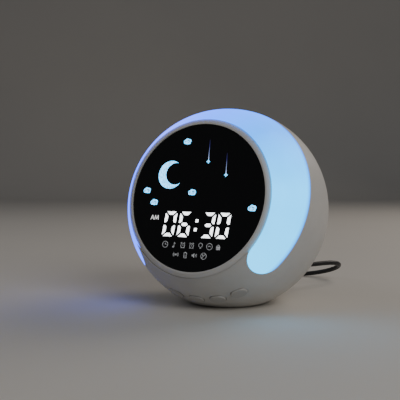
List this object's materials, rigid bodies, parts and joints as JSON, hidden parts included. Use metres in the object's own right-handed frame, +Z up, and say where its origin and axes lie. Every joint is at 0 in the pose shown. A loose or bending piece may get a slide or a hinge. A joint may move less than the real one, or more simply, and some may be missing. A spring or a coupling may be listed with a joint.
{
  "type": "kids alarm clock with night light",
  "caption": "Globe-shaped bedside alarm clock for a child, with a tilted round display, a crescent night light round it, a row of push buttons below and a lead to a USB plug.",
  "frame": {"origin": "centre of the foot pad's underside, which rests on the table, straight below the centre of the globe", "axes": "+Z up, -Y towards the side that the display faces, +X to the right of someone who looks at the display"},
  "size_m": [0.1338, 0.1862, 0.1255],
  "materials": {
    "body_plastic": "fine matt texture",
    "bezel_plastic": "satin",
    "button_plastic": "satin",
    "smoked_lens": "polished smoked acrylic",
    "black_plastic": "moulded matt",
    "board_laminate": "green solder mask",
    "strip_film": "white flexible film",
    "chip_plastic": "moulded matt",
    "ribbon_film": "amber film",
    "switch_metal": "plain",
    "screw_steel": "zinc plated",
    "speaker_steel": "black coat",
    "magnet_ceramic": "ground ferrite",
    "cone_paper": "pressed paper",
    "foam_rubber": "closed cell foam",
    "socket_plastic": "moulded matt",
    "cell_wrap": "shrink wrap",
    "foot_rubber": "matt",
    "cable_rubber": "soft sheen",
    "contact_metal": "plated",
    "night_light": "translucent opal, lit",
    "display_light": "clear epoxy, lit",
    "strip_light": "clear epoxy, lit"
  },
  "bodies": {
    "housing": {"front_shell": "body_plastic", "rear_shell": "body_plastic", "bezel_ring": "bezel_plastic", "display_lens": "smoked_lens", "display_board": "board_laminate", "light_cell_block": "black_plastic", "display_leds": "display_light", "crescent_diffuser": "night_light", "light_strip": "strip_film", "light_strip_leds": "strip_light", "key_board": "board_laminate", "key_switches": "switch_metal", "rear_screws": "screw_steel", "main_board_screws": "screw_steel", "display_board_screws": "screw_steel", "main_board": "board_laminate", "board_components": "chip_plastic", "display_ribbon": "ribbon_film", "speaker_gasket": "foam_rubber", "speaker_basket": "speaker_steel", "speaker_cone": "cone_paper", "speaker_magnet": "magnet_ceramic", "power_socket": "socket_plastic", "power_board": "board_laminate", "battery_cell": "cell_wrap", "battery_cradle": "black_plastic", "foot_pad": "foot_rubber", "power_plug": "cable_rubber", "power_plug_tip": "contact_metal", "power_cord": "cable_rubber", "power_cord_tail": "cable_rubber", "power_cord_coil": "cable_rubber", "usb_plug": "cable_rubber", "usb_plug_tip": "contact_metal"},
    "button_left_outer": {"button_left_outer": "button_plastic", "plunger_left_outer": "button_plastic"},
    "button_left_inner": {"button_left_inner": "button_plastic", "plunger_left_inner": "button_plastic"},
    "button_right_inner": {"button_right_inner": "button_plastic", "plunger_right_inner": "button_plastic"},
    "button_right_outer": {"button_right_outer": "button_plastic", "plunger_right_outer": "button_plastic"}
  },
  "joints": [
    {"name": "button_left_outer_press", "type": "slide", "parent": "housing", "child": "button_left_outer", "axis": [-0.0758, 0.5657, 0.8211], "range_m": [0, 0.0008], "stiffness_N_per_m": 1800, "springref_m": -0.0003},
    {"name": "button_left_inner_press", "type": "slide", "parent": "housing", "child": "button_left_inner", "axis": [-0.0758, 0.5657, 0.8211], "range_m": [0, 0.0008], "stiffness_N_per_m": 1800, "springref_m": -0.0003},
    {"name": "button_right_inner_press", "type": "slide", "parent": "housing", "child": "button_right_inner", "axis": [-0.0758, 0.5657, 0.8211], "range_m": [0, 0.0008], "stiffness_N_per_m": 1800, "springref_m": -0.0003},
    {"name": "button_right_outer_press", "type": "slide", "parent": "housing", "child": "button_right_outer", "axis": [-0.0758, 0.5657, 0.8211], "range_m": [0, 0.0008], "stiffness_N_per_m": 1800, "springref_m": -0.0003}
  ]
}
